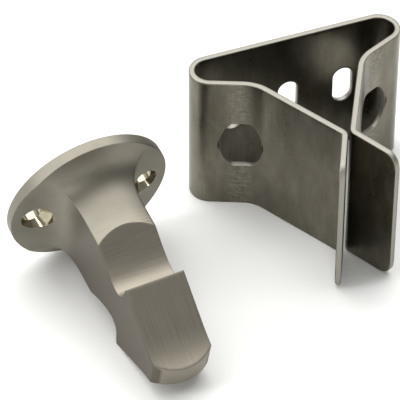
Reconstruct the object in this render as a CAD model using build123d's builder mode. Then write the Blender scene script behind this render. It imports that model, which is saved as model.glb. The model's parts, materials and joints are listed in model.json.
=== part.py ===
"""Spring-clip door holder: a bent spring clip and the barbed strike that it grips.

The clip stands on the long edge of its strip, with its back plate along X and its
lips towards -Y.  The strike lies beside it, on the rim of its flange and its lower
barb.  The origin is at the bottom centre of the two pieces together, with +Z up.
Lengths are in millimetres and angles in degrees.
"""
from build123d import *

import math
import os

# ---------------------------------------------------------------- clip, driving sizes
STRIP_HEIGHT = 33.0          # width of the spring strip, which stands up along Z
STRIP_THICKNESS = 1.3
BACK_HALF = 19.0             # middle of the back plate to the centre of each rolled loop
LOOP_RADIUS = 4.0            # centre line of the rolled loops
ARM_ANGLE = 24.0             # first run of an arm, against the back plate
ARM_RUN = 6.8
KNEE_RADIUS = 8.0            # centre line of the reverse bend
JAW_ANGLE = 62.0             # run from the knee to the throat, against the back plate
THROAT_GAP = 0.8             # between the two jaws at rest
THROAT_RADIUS = 1.5          # centre line of the throat bend
LIP_ANGLE = 116.0            # lead-in lip, against the back plate
LIP_RUN = 11.2
LIP_CORNER = 3.0             # rounded outer corners of the lips

JAW_OPENING = 20.0           # how far a jaw swings out as the barb passes
SEAM_GAP = JAW_OPENING + 6   # arc left free in a loop, between the back plate and a jaw

SLOT_WIDTH = 4.4             # screw slots in the back plate
SLOT_LENGTH = 8.9
SLOT_PITCH = 12.7
SLOT_COUNT = 3
ACCESS_WIDTH = 9.2           # screwdriver holes in the arms: ovals with a flat top and bottom
ACCESS_OVAL = 12.5
ACCESS_HEIGHT = 11.4
ACCESS_SLANT = 8.0           # the punch's lean from square to the arm, towards the knee

# ---------------------------------------------------------------- strike, driving sizes
FLANGE_RADIUS = 17.6
RIM_THICKNESS = 2.4
RIM_BREAK = 0.3              # chamfer of the rim's rear edge
FLARE_LEAD = 0.2             # the sweep starts this far behind the rim's front edge, 1 mm outside
NECK_HALF = 9.9              # half the neck's height, where the flange's sweep ends
NECK_AT = 15.0               # flange's back to the end of that sweep
CROWN_RADIUS = 17.0          # the neck's top and bottom, seen from the tip, are shallow arcs
STUD_WIDTH = 12.9
FLANK_END = 13.0             # flange's back to where the stud's sides become flat
BARB_AT = 31.0               # flange's back to the barb's edge
BARB_HALF = 10.1             # half the stud's thickness at the barb
BARB_BREAK = 0.35            # rounding of the barb's edge
STUD_ROOT = 22.5             # where the stud is let into the neck, inside the valleys
SLOPE_END = (40.8, 5.0)      # where the wedge's slope starts to ease off
TIP_AT = 45.4                # flange's back to the corners of the tip
TIP_CROWN = 2.8              # how far the rounded end stands past its corners
TIP_HALF = 2.5               # half the thickness at the crown
VALLEY = ((16.4, 10.0), (22.5, 6.2), (31.0, 0.4))    # valley's curve: gentle in, steep out
SCREW_SPACING = 25.0
SCREW_RADIUS = 2.1
COUNTERSINK_RADIUS = 3.7
COUNTERSINK_AT = 3.4         # flange's back to the countersink's mouth

# ---------------------------------------------------------------- where the pieces stand
CLIP_AT = (22.21, 30.38)      # middle of the back plate's rear face
STRIKE_AT = (-28.37, 16.68)   # middle of the flange's back, as seen from above
STRIKE_TURN = 5.9             # about Z, from square to the clip

# The strike tips forward on its rim's front edge until its lower barb touches down.
STRIKE_TILT = math.degrees(math.atan((FLANGE_RADIUS - BARB_HALF) / (BARB_AT - RIM_THICKNESS)))


def unit(angle):
    """Unit vector in the XY plane, at an angle to +X."""
    return Vector(math.cos(math.radians(angle)), math.sin(math.radians(angle)))


# ---------------------------------------------------------------- clip layout
clip_centre = Vector(*CLIP_AT)
back_centre = clip_centre - Vector(0, STRIP_THICKNESS / 2)
left_hinge = back_centre - Vector(BACK_HALF, LOOP_RADIUS)    # the loop's centre line axis
loop_share = (180 - ARM_ANGLE - SEAM_GAP) / 2                # back plate's and jaw's part
seam_angle = 90 + loop_share + SEAM_GAP                      # where the jaw's part starts

# The run from knee to throat is as long as brings the jaw's face to half the gap.
arm_start = left_hinge + LOOP_RADIUS * unit(-90 - ARM_ANGLE)
knee_start = arm_start + ARM_RUN * unit(-ARM_ANGLE)
knee_end = knee_start + KNEE_RADIUS * (unit(-90 - ARM_ANGLE) - unit(-90 - JAW_ANGLE))
throat_bulge = THROAT_RADIUS * (1 - math.sin(math.radians(JAW_ANGLE)))
throat_line = clip_centre.X - THROAT_GAP / 2 - STRIP_THICKNESS / 2 - throat_bulge
jaw_run = (throat_line - knee_end.X) / math.cos(math.radians(JAW_ANGLE))

# ---------------------------------------------------------------- clip_base
with BuildPart() as clip_base:
    with BuildSketch():
        with BuildLine() as base_line:
            back = Line(left_hinge + (0, LOOP_RADIUS), left_hinge + (2 * BACK_HALF, LOOP_RADIUS))
            JernArc(back @ 0, (-1, 0), LOOP_RADIUS, loop_share)
            JernArc(back @ 1, (1, 0), LOOP_RADIUS, -loop_share)
        trace(base_line.line, line_width=STRIP_THICKNESS)
    extrude(amount=STRIP_HEIGHT)
    slot_plane = Plane((clip_centre.X, clip_centre.Y, STRIP_HEIGHT / 2), x_dir=(1, 0, 0), z_dir=(0, -1, 0))
    with BuildSketch(slot_plane):
        with GridLocations(SLOT_PITCH, SLOT_PITCH, SLOT_COUNT, 1):
            SlotOverall(SLOT_LENGTH, SLOT_WIDTH, rotation=90)
    extrude(amount=STRIP_THICKNESS, both=True, mode=Mode.SUBTRACT)
clip_base.part.label = "clip_base"

# ---------------------------------------------------------------- left_jaw
with BuildPart() as left_jaw:
    with BuildSketch():
        with BuildLine() as jaw_line:
            seam = left_hinge + LOOP_RADIUS * unit(seam_angle)
            loop = JernArc(seam, unit(seam_angle + 90), LOOP_RADIUS, loop_share)
            arm = PolarLine(loop @ 1, ARM_RUN, direction=loop % 1)
            knee = JernArc(arm @ 1, arm % 1, KNEE_RADIUS, ARM_ANGLE - JAW_ANGLE)
            jaw = PolarLine(knee @ 1, jaw_run, direction=knee % 1)
            throat = JernArc(jaw @ 1, jaw % 1, THROAT_RADIUS, JAW_ANGLE - LIP_ANGLE)
            lip = PolarLine(throat @ 1, LIP_RUN, direction=throat % 1)
        trace(jaw_line.line, line_width=STRIP_THICKNESS)
    extrude(amount=STRIP_HEIGHT)
    lip_end = left_jaw.faces().filter_by(lambda face: (face.normal_at() - lip % 1).length < 0.01)
    fillet(lip_end.edges().filter_by(lambda edge: edge.length < 2 * STRIP_THICKNESS), LIP_CORNER)
    punch = unit(-ARM_ANGLE - ACCESS_SLANT - 90)
    access_plane = Plane(arm @ 1 + (0, 0, STRIP_HEIGHT / 2), x_dir=punch.rotate(Axis.Z, 90), z_dir=punch)
    with BuildSketch(access_plane):
        Ellipse(ACCESS_WIDTH / 2, ACCESS_OVAL / 2)
        Rectangle(ACCESS_WIDTH, ACCESS_HEIGHT, mode=Mode.INTERSECT)
    extrude(amount=3 * STRIP_THICKNESS, both=True, mode=Mode.SUBTRACT)
left_jaw.part.label = "left_jaw"

# ---------------------------------------------------------------- right_jaw
with BuildPart() as right_jaw:
    mirror(left_jaw.part, about=Plane.YZ.offset(clip_centre.X))
right_jaw.part.label = "right_jaw"

# ---------------------------------------------------------------- strike layout
tilt = math.radians(STRIKE_TILT)
out = unit(STRIKE_TURN - 90) * math.cos(tilt) - Vector(0, 0, math.sin(tilt))   # flange to tip
across = unit(STRIKE_TURN)
up = out.cross(across)
strike_centre = Vector(*STRIKE_AT, FLANGE_RADIUS * math.cos(tilt) + RIM_THICKNESS * math.sin(tilt))
flange_back = Plane(strike_centre, x_dir=across, z_dir=out)
plan = Plane(strike_centre, x_dir=out, z_dir=up)            # X outwards, Y across
side = Plane(strike_centre, x_dir=out, z_dir=-across)       # X outwards, Y up
half_section = Plane(strike_centre, x_dir=across, z_dir=-up)    # X across, Y outwards
crown_drop = CROWN_RADIUS - NECK_HALF

# ---------------------------------------------------------------- strike
with BuildPart() as strike:
    # Neck: seen from the side, the flange sweeps in to the neck above and below.  Each
    # sweep turns about an axis past the middle, which leaves it a shallow crown.
    for below, mode in ((crown_drop, Mode.ADD), (-crown_drop, Mode.INTERSECT)):
        sign = math.copysign(1, below)
        with BuildSketch(side):
            with BuildLine():
                flare = Bezier(
                    (RIM_THICKNESS - FLARE_LEAD, sign * (FLANGE_RADIUS + 1)),
                    (RIM_THICKNESS + 1.2, sign * 0.62 * FLANGE_RADIUS),
                    (0.45 * NECK_AT, sign * NECK_HALF),
                    (NECK_AT, sign * NECK_HALF),
                )
                Polyline(
                    flare @ 1,
                    (STUD_ROOT + 1, sign * NECK_HALF),
                    (STUD_ROOT + 1, -below),
                    (0, -below),
                    (0, sign * (FLANGE_RADIUS + 1)),
                    flare @ 0,
                )
            make_face()
        revolve(axis=Axis(strike_centre - below * up, out), mode=mode)
    # Flange: everything stays inside its round rim.
    with BuildSketch(half_section):
        with BuildLine():
            Polyline(
                (0, 0),
                (FLANGE_RADIUS - RIM_BREAK, 0),
                (FLANGE_RADIUS, RIM_BREAK),
                (FLANGE_RADIUS, STUD_ROOT + 1),
                (0, STUD_ROOT + 1),
                close=True,
            )
        make_face()
    revolve(axis=Axis(strike_centre, out), mode=Mode.INTERSECT)
    # Flanks: seen from above, the flange narrows in a sweep to the stud's flat sides.
    with BuildSketch(plan):
        with BuildLine():
            flank = Bezier(
                (RIM_THICKNESS - FLARE_LEAD, FLANGE_RADIUS + 1),
                (RIM_THICKNESS + 0.5, 0.49 * FLANGE_RADIUS),
                (0.31 * FLANK_END, STUD_WIDTH / 2),
                (FLANK_END, STUD_WIDTH / 2),
            )
            Polyline(
                flank @ 1,
                (BARB_AT, STUD_WIDTH / 2),
                (BARB_AT, FLANGE_RADIUS + 1),
                flank @ 0,
            )
        make_face()
        mirror(about=Plane.XZ)
    extrude(amount=FLANGE_RADIUS + 1, both=True, mode=Mode.SUBTRACT)
    # Stud: the wedge from the barb to the tip.
    with BuildSketch(side):
        with BuildLine():
            blunt = Polyline((STUD_ROOT, 0), (STUD_ROOT, BARB_HALF), (BARB_AT, BARB_HALF))
            slope = Line(blunt @ 1, SLOPE_END)
            ease = TangentArc(slope @ 1, (TIP_AT + TIP_CROWN, TIP_HALF), tangent=slope % 1)
            Polyline(ease @ 1, (TIP_AT + TIP_CROWN, 0), (STUD_ROOT, 0))
        make_face()
        mirror(about=Plane.XZ)
    extrude(amount=STUD_WIDTH / 2, both=True)
    # Rounded end of the tip, seen from above.
    with BuildSketch(plan):
        with BuildLine():
            end = ThreePointArc(
                (TIP_AT, STUD_WIDTH / 2), (TIP_AT + TIP_CROWN, 0), (TIP_AT, -STUD_WIDTH / 2)
            )
            Polyline(
                end @ 1,
                (TIP_AT, -STUD_WIDTH),
                (TIP_AT + 2 * TIP_CROWN, -STUD_WIDTH),
                (TIP_AT + 2 * TIP_CROWN, STUD_WIDTH),
                (TIP_AT, STUD_WIDTH),
                end @ 0,
            )
        make_face()
    extrude(amount=BARB_HALF, both=True, mode=Mode.SUBTRACT)
    # Valleys behind the barbs, which the clip's throat drops into.
    with BuildSketch(side):
        with BuildLine():
            valley = Bezier(*VALLEY, (BARB_AT, BARB_HALF))
            Polyline(
                valley @ 1,
                (BARB_AT, BARB_HALF + 2),
                (VALLEY[0][0], BARB_HALF + 2),
                valley @ 0,
            )
        make_face()
        mirror(about=Plane.XZ)
    extrude(amount=STUD_WIDTH, both=True, mode=Mode.SUBTRACT)
    with Locations(flange_back.offset(COUNTERSINK_AT)):
        with GridLocations(SCREW_SPACING, SCREW_SPACING, 2, 1):
            CounterSinkHole(SCREW_RADIUS, COUNTERSINK_RADIUS, 2 * COUNTERSINK_AT, 82)
    barbs = strike.edges().filter_by(Axis((0, 0, 0), across)).filter_by(
        lambda edge: abs(abs(side.to_local_coords(edge.center()).Y) - BARB_HALF) < 0.01
    )
    fillet(barbs, BARB_BREAK)
strike.part.label = "strike"

# ---------------------------------------------------------------- files
os.makedirs("parts", exist_ok=True)
for piece in (clip_base, left_jaw, right_jaw, strike):
    export_step(piece.part, f"parts/{piece.part.label}.step")
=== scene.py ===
# %% [markdown]
# # A spring-clip door holder
# The real thing is two loose pieces: a clip, bent from one strip of stainless spring
# steel, and a cast strike with two barbs, ground and belt-brushed. The engineering model
# is loaded first as a fixed frame, and every size here is either read from it or is one
# of its few driving dimensions.

import json
import math

import bpy
import numpy as np
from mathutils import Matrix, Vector


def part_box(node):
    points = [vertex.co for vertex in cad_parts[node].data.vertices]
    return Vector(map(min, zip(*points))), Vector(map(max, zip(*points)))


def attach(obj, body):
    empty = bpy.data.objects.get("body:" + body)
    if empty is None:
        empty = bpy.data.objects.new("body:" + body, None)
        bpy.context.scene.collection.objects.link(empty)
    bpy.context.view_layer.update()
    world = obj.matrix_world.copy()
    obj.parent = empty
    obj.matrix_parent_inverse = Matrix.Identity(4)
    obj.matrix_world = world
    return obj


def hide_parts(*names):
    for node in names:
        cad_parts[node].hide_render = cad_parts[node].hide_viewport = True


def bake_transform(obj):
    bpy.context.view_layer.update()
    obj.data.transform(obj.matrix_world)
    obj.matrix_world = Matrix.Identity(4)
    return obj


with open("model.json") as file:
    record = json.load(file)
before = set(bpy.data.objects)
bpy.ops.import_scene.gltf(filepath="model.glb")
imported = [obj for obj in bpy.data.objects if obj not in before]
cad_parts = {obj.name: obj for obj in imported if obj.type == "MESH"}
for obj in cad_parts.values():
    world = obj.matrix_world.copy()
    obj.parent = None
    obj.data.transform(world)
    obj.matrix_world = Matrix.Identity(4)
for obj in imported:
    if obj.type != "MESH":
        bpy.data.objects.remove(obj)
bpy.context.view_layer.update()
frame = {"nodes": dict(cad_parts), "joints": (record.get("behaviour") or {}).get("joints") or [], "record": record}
MM = 0.001
mounts = {mount["name"]: mount for mount in frame["record"]["mounts"]}
hinges = {joint["name"]: joint for joint in frame["joints"]}
base_low, base_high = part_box("clip_base")
print("nodes:", sorted(frame["nodes"]))

# %% [markdown]
# ## Camera
# Small hardware is shot from well back with a long lens, so that its edges stay almost
# parallel. The camera stands a little to the left and looks down on the two pieces.

# %% Camera
AZIMUTH = math.radians(-21.3)
ELEVATION = math.radians(42.5)
DISTANCE = 0.62
AIM = Vector((-0.0066, 0.0068, 0.0157))
back = Vector((
    math.sin(AZIMUTH) * math.cos(ELEVATION),
    -math.cos(AZIMUTH) * math.cos(ELEVATION),
    math.sin(ELEVATION),
))
camera = bpy.data.objects.new("camera", bpy.data.cameras.new("camera"))
bpy.context.scene.collection.objects.link(camera)
camera.data.lens = 270.6
camera.data.clip_start = 0.05
camera.data.clip_end = 20
camera.location = AIM + DISTANCE * back
camera.rotation_mode = "QUATERNION"
camera.rotation_quaternion = (-back).to_track_quat("-Z", "Y")
bpy.context.scene.camera = camera
print("camera at", [round(x, 3) for x in camera.location])

# %% [markdown]
# ## Colours and a node helper
# Colours are picked as sRGB hex values, the way a paint program shows them, but shaders
# want linear light, so one function converts them. One more function adds any shader
# node, sets it up and links it, which keeps each material short.


# %% Helpers for materials
def linear(text):
    """An sRGB hex colour as linear RGBA: each channel is undone with the sRGB curve."""
    share = np.array([int(text[i:i + 2], 16) for i in (0, 2, 4)]) / 255
    light = np.where(share <= 0.04045, share / 12.92, ((share + 0.055) / 1.055) ** 2.4)
    return (*light.tolist(), 1.0)


def add(tree, kind, links=None, **settings):
    """Adds a node; a setting names a property, or else an input, with _ for a space."""
    made = tree.nodes.new(kind)
    for name, value in settings.items():
        if hasattr(made, name):
            setattr(made, name, value)
        else:
            made.inputs[name.replace("_", " ")].default_value = value
    for name, source in (links or {}).items():
        tree.links.new(source, made.inputs[name])
    return made


def ramp(tree, source, *stops):
    """A colour ramp on a value: the stops are (position, hex colour) pairs."""
    made = add(tree, "ShaderNodeValToRGB", {"Fac": source})
    while len(made.color_ramp.elements) < len(stops):
        made.color_ramp.elements.new(0.5)
    for element, (position, colour) in zip(made.color_ramp.elements, stops):
        element.position = position
        element.color = linear(colour)
    return made.outputs["Color"]


# %% [markdown]
# ## The stage
# A white table and a few large soft lamps. Bare metal shows what stands round it, so the
# lamps are placed for the bands of light and dark that they leave in the bends.

# %% Floor, world and lamps
FLOOR_DROP = 0.02 * MM
FLOOR_HALF = 3.0
floor_mesh = bpy.data.meshes.new("floor")
floor_corners = [(-FLOOR_HALF, -FLOOR_HALF), (FLOOR_HALF, -FLOOR_HALF),
                 (FLOOR_HALF, FLOOR_HALF), (-FLOOR_HALF, FLOOR_HALF)]
floor_mesh.from_pydata([(x, y, -FLOOR_DROP) for x, y in floor_corners], [], [(0, 1, 2, 3)])
floor = bpy.data.objects.new("floor", floor_mesh)
bpy.context.scene.collection.objects.link(floor)
white_table = bpy.data.materials.new("white_table")
white_table.use_nodes = True
white_table.node_tree.nodes["Principled BSDF"].inputs["Base Color"].default_value = linear("f2f2f0")
white_table.node_tree.nodes["Principled BSDF"].inputs["Roughness"].default_value = 0.9
floor.data.materials.append(white_table)

world = bpy.data.worlds.new("studio")
world.use_nodes = True
world.node_tree.nodes["Background"].inputs["Color"].default_value = linear("e6e6e4")
world.node_tree.nodes["Background"].inputs["Strength"].default_value = 0.38
bpy.context.scene.world = world


def softbox(name, place, size, power):
    """A white rectangular lamp that faces the middle of the object."""
    lamp = bpy.data.lights.new(name, "AREA")
    lamp.shape = "RECTANGLE"
    lamp.size, lamp.size_y = size
    lamp.energy = power
    made = bpy.data.objects.new(name, lamp)
    bpy.context.scene.collection.objects.link(made)
    made.location = place
    made.rotation_mode = "QUATERNION"
    made.rotation_quaternion = (Vector((0, 0, 0.015)) - made.location).to_track_quat("-Z", "Y")


softbox("overhead", (0.10, 0.55, 1.20), (2.2, 1.8), 34)
softbox("left_side", (-1.15, 0.10, 0.70), (0.35, 1.0), 7)
softbox("front_strip", (-0.35, -1.20, 0.55), (0.16, 0.9), 3)
bpy.context.scene.view_settings.view_transform = "Standard"
print("floor, world and lamps are up")

# %% [markdown]
# ## The clip's line
# Seen from above, the clip is one line of straight runs and arcs, so the whole shape is
# known once that line is: a point on the strip is a distance along the line and a height.
# Each run moves along its chord, which for an arc is its length times sin(x)/x of half
# the turn, and a straight run is an arc that doesn't turn. One formula serves both.


# %% The line that the strip follows
def follow(s, x, y, heading, runs):
    """Points and headings at the distances s along runs of (length, turn in radians)."""
    x = np.full_like(s, x)
    y = np.full_like(s, y)
    heading = np.full_like(s, heading)
    for length, turn in runs:
        done = np.clip(s, 0, length)
        bend = turn * done / length
        chord = done * np.sinc(bend / 2 / np.pi)
        x = x + chord * np.cos(heading + bend / 2)
        y = y + chord * np.sin(heading + bend / 2)
        heading = heading + bend
        s = s - done
    return x, y, heading


THICKNESS = 1.3 * MM
LOOP_RADIUS = 4.0 * MM
ARM_ANGLE = math.radians(24)
ARM_RUN = 6.8 * MM
KNEE_RADIUS = 8.0 * MM
JAW_ANGLE = math.radians(62)
THROAT_GAP = 0.8 * MM
THROAT_RADIUS = 1.5 * MM
LIP_ANGLE = math.radians(116)
LIP_RUN = 11.2 * MM
LIP_CORNER = 3.0 * MM
SLOT_PITCH = 12.7 * MM

height = base_high.z - base_low.z
clip_x = (base_low.x + base_high.x) / 2
line_y = base_high.y - THICKNESS / 2
left_hinge = Vector(hinges["left_jaw_flex"]["pos_m"])
half_back = clip_x - left_hinge.x
to_knee = [
    (LOOP_RADIUS * (math.pi - ARM_ANGLE), math.pi - ARM_ANGLE),
    (ARM_RUN, 0),
    (KNEE_RADIUS * (JAW_ANGLE - ARM_ANGLE), ARM_ANGLE - JAW_ANGLE),
]
knee_end = follow(np.array([1.0]), left_hinge.x, line_y, math.pi, to_knee)
throat_x = clip_x - THROAT_GAP / 2 - THICKNESS / 2 - THROAT_RADIUS * (1 - math.sin(JAW_ANGLE))
jaw_run = (throat_x - knee_end[0][0]) / math.cos(JAW_ANGLE)
jaw_runs = [
    *to_knee,
    (jaw_run, 0),
    (THROAT_RADIUS * (LIP_ANGLE - JAW_ANGLE), JAW_ANGLE - LIP_ANGLE),
    (LIP_RUN, 0),
]
print("jaw run", round(jaw_run / MM, 2), "mm")

# %% [markdown]
# ## Holes in a flat grid
# The strip is laid out flat first, as the press shop had it: a grid of distance along by
# height. Round each hole, a block of cells is swapped for rings that pass from the hole's
# outline to the block's rectangle, so every face stays four-sided and the bend, later,
# runs through clean rows. The outline is given as a radius for each direction.


# %% Outlines of the two kinds of hole
def slot_radius(angle, half_width=2.2 * MM, half_length=4.45 * MM):
    """An upright slot: its flat side, or past it the round end about a raised centre."""
    cos, sin = np.abs(np.cos(angle)), np.abs(np.sin(angle))
    rise = half_length - half_width
    flat = half_width / np.maximum(cos, 1e-9)
    round_end = rise * sin + np.sqrt(np.maximum(half_width**2 - (rise * cos) ** 2, 0))
    return np.where(flat * sin <= rise, flat, round_end)


def oval_radius(angle, half_width=4.68 * MM, half_length=6.25 * MM, half_flat=5.7 * MM):
    """An upright oval whose top and bottom are cut flat."""
    oval = 1 / np.sqrt((np.cos(angle) / half_width) ** 2 + (np.sin(angle) / half_length) ** 2)
    return np.minimum(oval, half_flat / np.maximum(np.abs(np.sin(angle)), 1e-9))


def ease(t):
    """0 to 1, smooth at both ends."""
    t = np.clip(t, 0, 1)
    return t * t * (3 - 2 * t)


# %% The flat sheet
BLOCK_HALF_HEIGHT = 8.0 * MM
SLOT_BLOCK = 3.9 * MM
OVAL_BLOCK = 6.2 * MM
CELL = 1.1 * MM
RING_SHARES = (0.0, 0.16, 0.42, 0.7)


def stations(breaks, steps):
    """Distances from each break to the next, evenly spaced, no more than a step apart."""
    parts = [
        np.linspace(a, b, max(1, math.ceil((b - a) / step - 0.01)), endpoint=False)
        for a, b, step in zip(breaks[:-1], breaks[1:], steps)
    ]
    return np.concatenate([*parts, [breaks[-1]]])


def flat_sheet(columns, rows, holes):
    """Points (along, up), quads and boundary loops, each with the material on its left."""
    along, up = np.meshgrid(columns, rows, indexing="ij")
    number = np.arange(along.size).reshape(along.shape)
    keep = np.ones((len(columns) - 1, len(rows) - 1), bool)
    points = [np.stack([along.ravel(), up.ravel()], 1)]
    quads = []
    loops = [np.concatenate([number[:-1, 0], number[-1, :-1], number[:0:-1, -1], number[0, :0:-1]])]
    count = along.size
    for centre, half, radius in holes:
        i0, i1 = np.searchsorted(columns, [centre - half - 1e-7, centre + half - 1e-7])
        low, high = height / 2 - BLOCK_HALF_HEIGHT, height / 2 + BLOCK_HALF_HEIGHT
        j0, j1 = np.searchsorted(rows, [low - 1e-7, high - 1e-7])
        keep[i0:i1, j0:j1] = False
        block = np.concatenate([
            number[i0:i1, j0], number[i1, j0:j1], number[i1:i0:-1, j1], number[i0, j1:j0:-1],
        ])
        away = points[0][block] - (centre, height / 2)
        angle = np.arctan2(away[:, 1], away[:, 0])
        edge = radius(angle)[:, None] * np.stack([np.cos(angle), np.sin(angle)], 1)
        rings = [edge + share * (away - edge) + (centre, height / 2) for share in RING_SHARES]
        points.extend(rings)
        numbers = [count + k * len(block) + np.arange(len(block)) for k in range(len(rings))]
        count += len(rings) * len(block)
        for inner, outer in zip(numbers, [*numbers[1:], block]):
            quads.append(np.stack([inner, outer, np.roll(outer, -1), np.roll(inner, -1)], 1))
        loops.append(numbers[0][::-1])
    cells = [number[:-1, :-1], number[1:, :-1], number[1:, 1:], number[:-1, 1:]]
    quads.append(np.stack([c[keep] for c in cells], 1))
    return np.concatenate(points), np.concatenate(quads), loops


# %% [markdown]
# ## From a flat sheet to bent strip
# The sheet gets its thickness by standing each point off the line to both sides, and its
# cut edges are walls with rounded corners. On the real strip, the blanking die leaves
# those edges a little rounded and brighter than the rolled faces, so each point also
# carries how far it is into the cut edge. That becomes an attribute for the material.

# %% Bent strip
EDGE_ROUND = 0.26 * MM
FACES_APART = 20    # keeps the patterns of the two rolled faces apart, in millimetres
WALL = [    # distance in from the edge and off the middle, from the outer face to the inner
    (EDGE_ROUND, THICKNESS / 2),
    (EDGE_ROUND * 0.29, THICKNESS / 2 - EDGE_ROUND * 0.29),
    (0.0, THICKNESS / 2 - EDGE_ROUND),
    (0.0, EDGE_ROUND - THICKNESS / 2),
    (EDGE_ROUND * 0.29, EDGE_ROUND * 0.29 - THICKNESS / 2),
    (EDGE_ROUND, -THICKNESS / 2),
]


def inward(points, loop, seam_at):
    """At each boundary point, the direction into the material; none across the seam."""
    step = np.roll(points[loop], -1, 0) - np.roll(points[loop], 1, 0)
    into = np.stack([-step[:, 1], step[:, 0]], 1)
    at_seam = np.abs(points[loop][:, 0] - seam_at) < 1e-7
    into[at_seam, 0] = 0
    up = points[loop][:, 1]
    middle = at_seam & (up > 1e-7) & (up < height - 1e-7)
    into[middle] = 0
    return into / np.maximum(np.linalg.norm(into, axis=1), 1e-12)[:, None]


def bent_strip(name, mirrored, first_run):
    """One half of the clip, from the seam in its back plate to the end of its lip."""
    runs = [(first_run, 0.0), *jaw_runs]
    ends = np.cumsum([length for length, _ in runs])
    knee = ends[2]
    slots = [SLOT_PITCH / 2] if mirrored else [SLOT_PITCH / 2, 1.5 * SLOT_PITCH]
    holes = [(s, SLOT_BLOCK, slot_radius) for s in slots] + [(knee, OVAL_BLOCK, oval_radius)]
    breaks = [0.0]
    steps = []
    for s in slots:
        breaks += [s - SLOT_BLOCK, s + SLOT_BLOCK]
        steps += [CELL, CELL]
    breaks += [ends[0], ends[1], knee - OVAL_BLOCK, knee + OVAL_BLOCK, ends[4], ends[5]]
    steps += [CELL, 0.4 * MM, CELL, 0.8 * MM, CELL, 0.2 * MM]
    breaks = sorted(breaks)
    columns = stations(breaks + [ends[6] - LIP_CORNER], steps + [CELL])
    corner = np.radians(np.linspace(0, 90, 10))[1:]
    columns = np.concatenate([columns, ends[6] - LIP_CORNER + LIP_CORNER * np.sin(corner)])
    middle = height / 2
    rows = stations([0, middle - BLOCK_HALF_HEIGHT, middle + BLOCK_HALF_HEIGHT, height], [CELL] * 3)
    flat, quads, loops = flat_sheet(columns, rows, holes)
    past = np.clip((flat[:, 0] - ends[6] + LIP_CORNER) / LIP_CORNER, 0, 1)
    cut_in = LIP_CORNER * (1 - np.sqrt(1 - past**2))    # the lip's corners are quarter circles
    flat[:, 1] = cut_in + flat[:, 1] * (1 - 2 * cut_in / height)

    offsets = np.zeros((len(WALL), len(flat), 2))
    for loop in loops:
        into = inward(flat, loop, 0.0)
        for k, (inset, _) in enumerate(WALL):
            offsets[k, loop] = inset * into
    edge_points = np.concatenate(loops)
    number = np.full((len(WALL), len(flat)), -1)
    number[0] = np.arange(len(flat))
    for k in range(1, len(WALL) - 1):
        number[k, edge_points] = number.max() + 1 + np.arange(len(edge_points))
    number[-1] = number.max() + 1 + np.arange(len(flat))
    place = np.zeros((number.max() + 1, 3))
    cut_edge = np.zeros(len(place))
    for k, (_, stand_off) in enumerate(WALL):
        used = number[k] >= 0
        place[number[k][used], :2] = (flat + offsets[k])[used]
        place[number[k][used], 2] = stand_off
        cut_edge[number[k][used]] = 1.0 if 0 < k < len(WALL) - 1 else 0.0
    faces = [number[0][quads], number[-1][quads][:, ::-1]]
    for loop in loops:
        after = np.roll(loop, -1)
        for upper, lower in zip(number[:-1], number[1:]):
            faces.append(np.stack([upper[loop], lower[loop], lower[after], upper[after]], 1))
    faces = np.concatenate(faces)
    used = np.unique(faces)
    compact = np.zeros(len(place), int)
    compact[used] = np.arange(len(used))
    faces, place, cut_edge = compact[faces], place[used], cut_edge[used]

    s, up, stand_off = place.T
    x, y, heading = follow(s, clip_x + SLOT_PITCH / 2 if not mirrored else 0.0, line_y, math.pi, runs)
    x = x + stand_off * np.sin(heading)
    y = y - stand_off * np.cos(heading)
    if mirrored:
        x = clip_x + SLOT_PITCH / 2 - x
        faces = faces[:, ::-1]
    mesh = bpy.data.meshes.new(name)
    mesh.from_pydata(np.stack([x, y, up], 1).tolist(), [], faces.tolist())
    along = s / MM * (1 if mirrored else -1)
    laid_flat = mesh.attributes.new("laid_flat", "FLOAT_VECTOR", "POINT")
    laid = np.stack([along, up / MM, np.sign(stand_off) * FACES_APART], 1)
    laid_flat.data.foreach_set("vector", laid.astype(np.float32).ravel())
    for title, value in (("cut_edge", cut_edge), ("from_knee", (s - knee) / MM)):
        mesh.attributes.new(title, "FLOAT", "POINT").data.foreach_set("value", value.astype(np.float32))
    ends_of_edges = np.zeros(2 * len(mesh.edges), int)
    mesh.edges.foreach_get("vertices", ends_of_edges)
    at_seam = (s < 1e-7)[ends_of_edges].reshape(-1, 2).all(1)
    mesh.attributes.new("sharp_edge", "BOOLEAN", "EDGE").data.foreach_set("value", at_seam)
    mesh.shade_smooth()
    made = bpy.data.objects.new(name, mesh)
    bpy.context.scene.collection.objects.link(made)
    flatten = made.modifiers.new("flat_faces_stay_flat", "WEIGHTED_NORMAL")
    flatten.keep_sharp = True
    print(name, len(mesh.polygons), "faces")
    return made


left_strip = bent_strip("left_strip", False, half_back + SLOT_PITCH / 2)
right_strip = bent_strip("right_strip", True, half_back - SLOT_PITCH / 2)

# %% [markdown]
# ## Strike: a tube of sections
# The strike is a casting whose flange sweeps in to a neck, and whose stud was then milled
# and ground. Cutting blocks from each other would leave ragged edges, so it is one tube of
# sections instead. Up to the valley, two curves give each section its width and its
# height, its top and bottom are shallow arcs, and no point may leave the round rim.
# Beyond it, a section is a plain rectangle. Each lengthwise line of the grid has its own
# place to change over, so the milled edge is a grid line.

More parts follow.
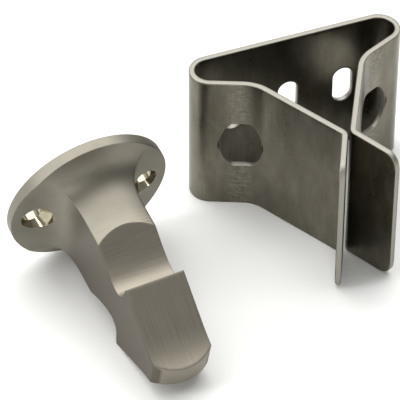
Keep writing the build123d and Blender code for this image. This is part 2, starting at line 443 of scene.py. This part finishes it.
# %% The strike's driving sizes, in millimetres
FLANGE_RADIUS = 17.6
RIM_THICKNESS = 2.4
RIM_BREAK = 0.3
FLARE_LEAD = 0.2
NECK_HALF = 9.9
NECK_AT = 15.0
CROWN_DROP = 17.0 - NECK_HALF    # the crown arcs' centres lie this far past the middle
STUD_HALF = 6.45
FLANK_END = 13.0
VALLEY = [(16.4, 10.0), (22.5, 6.2), (31.0, 0.4), (31.0, 10.1)]
BARB_AT, BARB_HALF = VALLEY[-1]
SLOPE_END = (40.8, 5.0)
TIP_AT = 45.4
TIP_CROWN = 2.8
TIP_HALF = 2.5
SCREW_HALF_SPACING = 12.5
SCREW_RADIUS = 2.1
COUNTERSINK_RADIUS = 3.7
COUNTERSINK_AT = 3.4
COUNTERSINK_SLOPE = math.tan(math.radians(41))


def bezier(points, count=400):
    """Points on a cubic curve: the four controls weighted by its Bernstein terms."""
    t = np.linspace(0, 1, count)[:, None]
    p = np.array(points, float)
    return (1 - t) ** 3 * p[0] + 3 * (1 - t) ** 2 * t * p[1] + 3 * (1 - t) * t**2 * p[2] + t**3 * p[3]


flare = bezier([
    (RIM_THICKNESS - FLARE_LEAD, FLANGE_RADIUS + 1), (RIM_THICKNESS + 1.2, 0.62 * FLANGE_RADIUS),
    (0.45 * NECK_AT, NECK_HALF), (NECK_AT, NECK_HALF),
])
flank = bezier([
    (RIM_THICKNESS - FLARE_LEAD, FLANGE_RADIUS + 1), (RIM_THICKNESS + 0.5, 0.49 * FLANGE_RADIUS),
    (0.31 * FLANK_END, STUD_HALF), (FLANK_END, STUD_HALF),
])
valley = bezier(VALLEY)
slope = np.subtract(SLOPE_END, (BARB_AT, BARB_HALF))
slope_heading = math.atan2(slope[1], slope[0])
to_tip = np.subtract((TIP_AT + TIP_CROWN, TIP_HALF), SLOPE_END)
tip_turn = 2 * (math.atan2(to_tip[1], to_tip[0]) - slope_heading)    # a chord turns by half its arc
tip_arc = np.hypot(*to_tip) / np.sinc(tip_turn / 2 / np.pi)
wedge = np.stack(follow(
    np.linspace(0, np.hypot(*slope) + tip_arc, 200), BARB_AT, BARB_HALF, slope_heading,
    [(np.hypot(*slope), 0.0), (tip_arc, tip_turn)],
)[:2], 1)
profile = np.concatenate([valley[:-1], wedge])
crown_radius = (STUD_HALF**2 + TIP_CROWN**2) / (2 * TIP_CROWN)


def tip_at(x):
    """Where the stud ends at x across: the arc through its two corners and its crown."""
    return TIP_AT + TIP_CROWN - crown_radius + np.sqrt(crown_radius**2 - x**2)


# %% The tube's grid
TOP_CELLS = 24
SIDE_CELLS = 18
side_share = np.linspace(-1, 1, SIDE_CELLS, endpoint=False)
top_share = np.linspace(-1, 1, TOP_CELLS, endpoint=False)
is_side = np.concatenate([np.ones(SIDE_CELLS, bool), np.zeros(TOP_CELLS, bool)] * 2)
face_share = np.concatenate([side_share, top_share] * 2)
face_sign = np.repeat([1, 1, -1, -1], [SIDE_CELLS, TOP_CELLS] * 2)    # right, top, left, bottom
across_share = np.where(is_side, face_sign, -face_sign * face_share)
up_share = np.where(is_side, face_sign * face_share, face_sign)
corners = [0, SIDE_CELLS, SIDE_CELLS + TOP_CELLS, 2 * SIDE_CELLS + TOP_CELLS]


def crown(x, half_height):
    """Height of the crowned top at x across, for its height in the middle."""
    return np.sqrt((half_height + CROWN_DROP)**2 - x**2) - CROWN_DROP


def flared(t):
    """The section at t out from the flange's back, before its rim is turned round."""
    x = np.interp(t, flank[:, 0], flank[:, 1]) * across_share
    return x, crown(x, np.interp(t, flare[:, 0], flare[:, 1])) * up_share


near_rim = np.linspace(RIM_THICKNESS - FLARE_LEAD, RIM_THICKNESS + 2, 400)
to_point = np.hypot(*flared(near_rim[:, None]))
rim_at = np.array([np.interp(-FLANGE_RADIUS, -line, near_rim) for line in to_point.T])
crown_height = crown(STUD_HALF * across_share, NECK_HALF)
falling = valley[:np.argmin(valley[:, 1])]
change = np.interp(-crown_height, -falling[:, 1], falling[:, 0])
last = tip_at(STUD_HALF * across_share)

flare_rows = np.linspace(0, 1, 56)[1:] ** 1.5
valley_rows = np.linspace(0, 1, 20)[1:]
wedge_rows = np.linspace(0, 1, 28)[1:]
t = np.concatenate([
    np.array([0.0, RIM_BREAK, 1.0])[:, None] + 0 * change,
    [rim_at - 0.45, rim_at],
    rim_at + flare_rows[:, None] * (change - rim_at),
    change + valley_rows[:, None] * (BARB_AT - change),
    BARB_AT + wedge_rows[:, None] * (last - BARB_AT),
])
RIM_ROW = 4
change_row = RIM_ROW + len(flare_rows)
barb_row = change_row + len(valley_rows)

x, y = flared(t)
turned_down = np.minimum(FLANGE_RADIUS / np.hypot(x, y), 1)
turned_down[0] *= 1 - RIM_BREAK / FLANGE_RADIUS
x = x * turned_down
y = y * turned_down
beyond = np.arange(len(t))[:, None] >= change_row
thick = np.interp(t, profile[:, 0], profile[:, 1])
x = np.where(beyond, STUD_HALF * across_share, x)
y = np.where(beyond, thick * up_share, y)
print("strike grid", t.shape)

# %% [markdown]
# ## Closing the strike
# The tube is closed by a disc at the back and by a curved end face whose grid shares the
# tube's last points, because a finished casting has no open seam. Bevel weights are set
# only on ground edges, so the bevel leaves the smooth flange alone. The two countersinks
# are cut with a Boolean at the end, once those bevels are there, as a drill would.

# %% Strike mesh
rows, columns = t.shape
tube = np.arange(rows * columns).reshape(rows, columns)
points = [np.stack([x, y, t], -1).reshape(-1, 3)]
right = np.roll(tube, -1, 1)
faces = np.stack([tube[:-1], right[:-1], right[1:], tube[1:]], -1).reshape(-1, 4).tolist()
faces.append(tube[0, ::-1].tolist())

top = tube[-1, corners[2]:corners[1] - 1:-1]                  # top edge, left to right
side_right = tube[-1, 1:SIDE_CELLS]                                       # right edge, bottom to top
side_left = tube[-1, corners[2] + 1:corners[3]][::-1]                     # left edge, bottom to top
bottom = np.append(tube[-1, corners[3]:], tube[-1, 0])                    # bottom edge, left to right
end_x = points[0][bottom, 0]
end_up = up_share[1:SIDE_CELLS]
inner_x, inner_up = np.meshgrid(end_x[1:-1], end_up, indexing="ij")
inner_t = tip_at(inner_x)
inner_y = inner_up * np.interp(inner_t, profile[:, 0], profile[:, 1])
inner = rows * columns + np.arange(inner_x.size).reshape(inner_x.shape)
points.append(np.stack([inner_x, inner_y, inner_t], -1).reshape(-1, 3))
end = np.concatenate([side_left[None], inner, side_right[None]])
end = np.concatenate([bottom[:, None], end, top[:, None]], 1)
faces += np.stack([end[:-1, :-1], end[1:, :-1], end[1:, 1:], end[:-1, 1:]], -1).reshape(-1, 4).tolist()
points = np.concatenate(points)

facing = mounts["strike_back"]
outwards = -Vector(facing["axis"])
sideways = Vector((0, 0, 1)).cross(outwards).normalized()
upwards = outwards.cross(sideways)
turn = np.array([sideways, upwards, outwards])
origin = np.array(facing["pos_m"])

strike_mesh = bpy.data.meshes.new("strike_blank")
strike_mesh.from_pydata(points.tolist(), [], faces)
rounding = np.zeros(len(strike_mesh.edges), np.float32)
edge_ends = np.zeros(2 * len(rounding), int)
strike_mesh.edges.foreach_get("vertices", edge_ends)
edge_ends = np.sort(edge_ends.reshape(-1, 2), 1)
on_tube = edge_ends.max(1) < rows * columns
row = edge_ends // columns
column = edge_ends % columns
along_ridge = on_tube & np.isin(column[:, 0], corners) & (column[:, 0] == column[:, 1])
ridge_share = ease((t[np.clip(row[:, 0], 0, rows - 1), column[:, 0]] - 4) / 6)
rounding[along_ridge] = ridge_share[along_ridge]
across_row = on_tube & (row[:, 0] == row[:, 1])
rounding[across_row & (row[:, 0] == rows - 1)] = 1
on_top = ~is_side[column]
both_top = on_top.any(1)
rounding[across_row & (row[:, 0] == barb_row) & both_top] = 1
rounding[across_row & (row[:, 0] == change_row) & both_top] = 0.4
rounding[across_row & (row[:, 0] == RIM_ROW)] = 0.6
strike_mesh.attributes.new("bevel_weight_edge", "FLOAT", "EDGE").data.foreach_set("value", rounding)

strike_blank = bpy.data.objects.new("strike_blank", strike_mesh)
bpy.context.scene.collection.objects.link(strike_blank)
bevel = strike_blank.modifiers.new("ground_edges", "BEVEL")
bevel.limit_method = "WEIGHT"
bevel.width = 0.28
bevel.segments = 2
bevel.use_clamp_overlap = True

# %% Countersinks
ROUND_STEPS = 72
screw_slope_at = COUNTERSINK_AT - (COUNTERSINK_RADIUS - SCREW_RADIUS) / COUNTERSINK_SLOPE
drill_profile = np.array([
    (SCREW_RADIUS, -1), (SCREW_RADIUS, screw_slope_at),
    (COUNTERSINK_RADIUS, COUNTERSINK_AT), (COUNTERSINK_RADIUS, 12),
])
angles = np.linspace(0, 2 * math.pi, ROUND_STEPS, endpoint=False)
drill_mesh = bpy.data.meshes.new("drills")
drill_points = []
drill_faces = []
for side in (-1, 1):
    first = len(drill_points) * len(drill_profile) * ROUND_STEPS
    ring = np.stack([
        side * SCREW_HALF_SPACING + drill_profile[:, :1] * np.cos(angles),
        drill_profile[:, :1] * np.sin(angles),
        drill_profile[:, 1:] + 0 * angles,
    ], -1)
    wall = first + np.arange(ring.shape[0] * ROUND_STEPS).reshape(-1, ROUND_STEPS)
    next_wall = np.roll(wall, -1, 1)
    walls = np.stack([wall[:-1], next_wall[:-1], next_wall[1:], wall[1:]], -1)
    drill_faces += walls.reshape(-1, 4).tolist()
    drill_faces += [wall[0, ::-1].tolist(), wall[-1].tolist()]
    drill_points.append(ring.reshape(-1, 3))
drill_mesh.from_pydata(np.concatenate(drill_points).tolist(), [], drill_faces)
drills = bpy.data.objects.new("drills", drill_mesh)
bpy.context.scene.collection.objects.link(drills)
drilling = strike_blank.modifiers.new("countersinks", "BOOLEAN")
drilling.operation = "DIFFERENCE"
drilling.solver = "EXACT"
drilling.object = drills
bpy.context.view_layer.update()
depsgraph = bpy.context.evaluated_depsgraph_get()
finished = bpy.data.meshes.new_from_object(strike_blank.evaluated_get(depsgraph))
bpy.data.objects.remove(drills)
bpy.data.objects.remove(strike_blank)

# %% [markdown]
# ## Brush direction as an attribute
# The belt ran along the slopes and the sides, and the valley was milled from side to
# side. Each point of the strike is asked which ground face it belongs to, by its normal
# and its place, and stores a position whose second number runs along the brush lines.

# %% Brush directions and the finished strike
local = np.zeros(3 * len(finished.vertices))
finished.vertices.foreach_get("co", local)
local = local.reshape(-1, 3)
normal = np.zeros(3 * len(finished.vertices), np.float32)
finished.vertex_normals.foreach_get("vector", normal)
normal = np.abs(normal.reshape(-1, 3))
px, py, pt = local.T
on_flank = (normal[:, 0] > 0.6) & (pt > 6)
on_end = (normal[:, 2] > 0.8) & (pt > TIP_AT - 1)
in_valley = (pt < BARB_AT + 0.02) & ~on_flank
cross_line = np.where(on_flank | on_end, py, np.where(in_valley, pt, px))
along_line = np.where(on_end | in_valley, px, pt)
face_number = np.where(on_flank, 30 * np.sign(px), np.where(on_end, 60, np.where(in_valley, 90, 120)))
# Belt lines come in from 13 to 18 mm out; painted shade darkens the sides from 5 to 11 mm out.
ground = ease((pt - 13) / 5)
painted_side_shade = on_flank * ease((pt - 5) / 6)
off_axis = np.hypot(np.abs(px) - SCREW_HALF_SPACING, py)
at_hole = (off_axis < COUNTERSINK_RADIUS + 0.02) & (pt < 8)
corner_points = np.zeros(len(finished.loops), int)
finished.loops.foreach_get("vertex_index", corner_points)
starts = np.zeros(len(finished.polygons), int)
finished.polygons.foreach_get("loop_start", starts)
drilled = np.minimum.reduceat(at_hole[corner_points].astype(int), starts)
finished.vertices.foreach_set("co", (local @ turn * MM + origin).ravel())
finished.attributes.new("brush", "FLOAT_VECTOR", "POINT").data.foreach_set(
    "vector", np.stack([cross_line, along_line, face_number], 1).astype(np.float32).ravel())
for title, value in (("ground", ground), ("painted_side_shade", painted_side_shade)):
    finished.attributes.new(title, "FLOAT", "POINT").data.foreach_set("value", value.astype(np.float32))
finished.name = "strike_body"
finished.shade_smooth()
finished.set_sharp_from_angle(angle=math.radians(32))
strike_body = bpy.data.objects.new("strike_body", finished)
bpy.context.scene.collection.objects.link(strike_body)
even = strike_body.modifiers.new("flat_faces_stay_flat", "WEIGHTED_NORMAL")
even.keep_sharp = True
print("strike_body", len(finished.polygons), "faces")

# %% [markdown]
# ## Rolled spring steel
# The strip is 301 stainless, rolled hard. The mill leaves it a dull grey with fine lines
# across the strip and cloudy patches of oxide, the bending tools scuff it beside the
# bends, and the cut edges are bare and bright. All the patterns are laid on the flat
# strip's own coordinates, so they go round the bends with the metal.

# %% Rolled spring steel
steel = bpy.data.materials.new("spring_steel_301_mill_rolled")
steel.use_nodes = True
tree = steel.node_tree
shader = tree.nodes["Principled BSDF"]
flat_place = add(tree, "ShaderNodeAttribute", attribute_name="laid_flat").outputs["Vector"]
edge_share = add(tree, "ShaderNodeAttribute", attribute_name="cut_edge").outputs["Fac"]
knee_away = add(tree, "ShaderNodeAttribute", attribute_name="from_knee").outputs["Fac"]
# Clouds about 6 mm across and 15 mm tall; lines 0.25 mm apart, drawn coarser than the mill's.
cloud_space = add(
    tree, "ShaderNodeMapping", {"Vector": flat_place}, Scale=(0.16, 0.065, 1),
).outputs["Vector"]
line_space = add(tree, "ShaderNodeMapping", {"Vector": flat_place}, Scale=(4.0, 0.10, 1)).outputs["Vector"]
clouds = add(
    tree, "ShaderNodeTexNoise", {"Vector": cloud_space}, Scale=1.0, Detail=5.0, Roughness=0.62,
).outputs["Fac"]
lines = add(
    tree, "ShaderNodeTexNoise", {"Vector": line_space}, Scale=1.0, Detail=3.0, Roughness=0.6,
).outputs["Fac"]
cloud_colour = ramp(tree, clouds, (0.30, "625e52"), (0.50, "716d61"), (0.70, "827e72"))
line_tone = ramp(tree, lines, (0.30, "8c8c8c"), (0.70, "bababa"))
rolled = add(
    tree, "ShaderNodeMixRGB", {"Color1": cloud_colour, "Color2": line_tone},
    blend_type="OVERLAY", Fac=0.35,
).outputs["Color"]
# Scuffs: 2 to 5 mm to each side of the knee, broken up by a noise with lines along the strip.
scuff_band = add(tree, "ShaderNodeMath", {0: knee_away}, operation="MULTIPLY_ADD")
scuff_band.inputs[1].default_value = 0.3
scuff_band.inputs[2].default_value = 0.15
scuff_bump = add(
    tree, "ShaderNodeMath", {0: scuff_band.outputs[0], 1: scuff_band.outputs[0]},
    operation="MULTIPLY",
)
scuff_gone = add(tree, "ShaderNodeMath", {1: scuff_bump.outputs[0]}, operation="SUBTRACT", use_clamp=True)
scuff_gone.inputs[0].default_value = 1.0
scuff_space = add(tree, "ShaderNodeMapping", {"Vector": flat_place}, Scale=(0.7, 1.5, 1)).outputs["Vector"]
scuff_noise = add(
    tree, "ShaderNodeTexNoise", {"Vector": scuff_space}, Scale=1.0, Detail=6.0, Roughness=0.75,
).outputs["Fac"]
scuff_spots = add(tree, "ShaderNodeMapRange", {"Value": scuff_noise}, From_Min=0.42, From_Max=0.80)
scuffs = add(
    tree, "ShaderNodeMath", {0: scuff_gone.outputs[0], 1: scuff_spots.outputs["Result"]},
    operation="MULTIPLY",
).outputs[0]
scuffed = add(
    tree, "ShaderNodeMixRGB", {"Fac": scuffs, "Color1": rolled}, Color2=linear("9a978c"),
).outputs["Color"]
bare = add(
    tree, "ShaderNodeMixRGB", {"Fac": edge_share, "Color1": scuffed}, Color2=linear("96938a"),
).outputs["Color"]
tree.links.new(bare, shader.inputs["Base Color"])
gloss = add(
    tree, "ShaderNodeMapRange", {"Value": clouds},
    From_Min=0.3, From_Max=0.7, To_Min=0.24, To_Max=0.36,
)
duller = add(
    tree, "ShaderNodeMix", {"Factor": edge_share, "A": gloss.outputs["Result"]},
    B=0.5, data_type="FLOAT",
)
tree.links.new(duller.outputs["Result"], shader.inputs["Roughness"])
shader.inputs["Metallic"].default_value = 1.0
bump = add(tree, "ShaderNodeBump", {"Height": lines}, Strength=0.3, Distance=0.02 * MM)
tree.links.new(bump.outputs["Normal"], shader.inputs["Normal"])

# %% [markdown]
# ## Belt-brushed strike
# The strike is cast 304 stainless. Its flange is only tumbled, which leaves an even satin,
# and its stud is finished on a belt, which leaves fine straight lines. The countersinks
# come straight from the tool and are as bright as a mirror.

# %% Belt-brushed steel
brushed = bpy.data.materials.new("stainless_304_belt_brushed")
brushed.use_nodes = True
tree = brushed.node_tree
shader = tree.nodes["Principled BSDF"]
brush_place = add(tree, "ShaderNodeAttribute", attribute_name="brush").outputs["Vector"]
ground_share = add(tree, "ShaderNodeAttribute", attribute_name="ground").outputs["Fac"]
side_shade_share = add(tree, "ShaderNodeAttribute", attribute_name="painted_side_shade").outputs["Fac"]
body_place = add(tree, "ShaderNodeTexCoord").outputs["Object"]
# Grit 180 leaves lines about 0.1 mm apart; they are drawn 0.25 mm apart so that they show.
grit_space = add(tree, "ShaderNodeMapping", {"Vector": brush_place}, Scale=(4.0, 0.09, 1)).outputs["Vector"]
grit = add(
    tree, "ShaderNodeTexNoise", {"Vector": grit_space}, Scale=1.0, Detail=4.0, Roughness=0.65,
).outputs["Fac"]
satin = add(tree, "ShaderNodeTexNoise", {"Vector": body_place}, Scale=2200.0, Detail=3.0).outputs["Fac"]
tone = add(tree, "ShaderNodeTexNoise", {"Vector": body_place}, Scale=90.0, Detail=3.0).outputs["Fac"]
grit_colour = ramp(tree, grit, (0.28, "857f73"), (0.50, "8e887c"), (0.72, "999386"))
satin_colour = ramp(tree, tone, (0.30, "7f7b70"), (0.70, "8f8b80"))
cast = add(
    tree, "ShaderNodeMixRGB", {"Fac": ground_share, "Color1": satin_colour, "Color2": grit_colour},
).outputs["Color"]
# Painted shade: the base colour of the stud's sides is mixed toward a darker grey.
shaded = add(tree, "ShaderNodeMixRGB", {"Fac": side_shade_share, "Color1": cast}, Color2=linear("655f54"))
tree.links.new(shaded.outputs["Color"], shader.inputs["Base Color"])
shader.inputs["Roughness"].default_value = 0.46
shader.inputs["Metallic"].default_value = 1.0
pattern = add(tree, "ShaderNodeMix", {"Factor": ground_share, "A": satin, "B": grit}, data_type="FLOAT")
bump = add(tree, "ShaderNodeBump", {"Height": pattern.outputs["Result"]}, Strength=0.25, Distance=0.02 * MM)
tree.links.new(bump.outputs["Normal"], shader.inputs["Normal"])

# %% Bright turned steel
turned = bpy.data.materials.new("stainless_304_bright_turned")
turned.use_nodes = True
tree = turned.node_tree
shader = tree.nodes["Principled BSDF"]
hole_place = add(tree, "ShaderNodeTexCoord").outputs["Object"]
haze = add(tree, "ShaderNodeTexNoise", {"Vector": hole_place}, Scale=600.0, Detail=2.0).outputs["Fac"]
tree.links.new(ramp(tree, haze, (0.3, "a39c86"), (0.7, "b9b29c")), shader.inputs["Base Color"])
shader.inputs["Metallic"].default_value = 1.0
shader.inputs["Roughness"].default_value = 0.16

# %% [markdown]
# ## Fitting the pieces to the frame
# Each half of the clip gets the spring steel and takes the place of its jaw and the back plate, whose frame parts
# are hidden. The strike rides the strike's body in place of its frame part.

# %% Riding and replacing
for piece, jaw in ((left_strip, "left_jaw"), (right_strip, "right_jaw")):
    piece.data.materials.append(steel)
    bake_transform(piece)
    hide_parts(jaw, "clip_base")
strike_body.data.materials.clear()
strike_body.data.materials.append(brushed)
strike_body.data.materials.append(turned)
strike_body.data.polygons.foreach_set("material_index", drilled)
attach(strike_body, "strike")
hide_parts("strike")
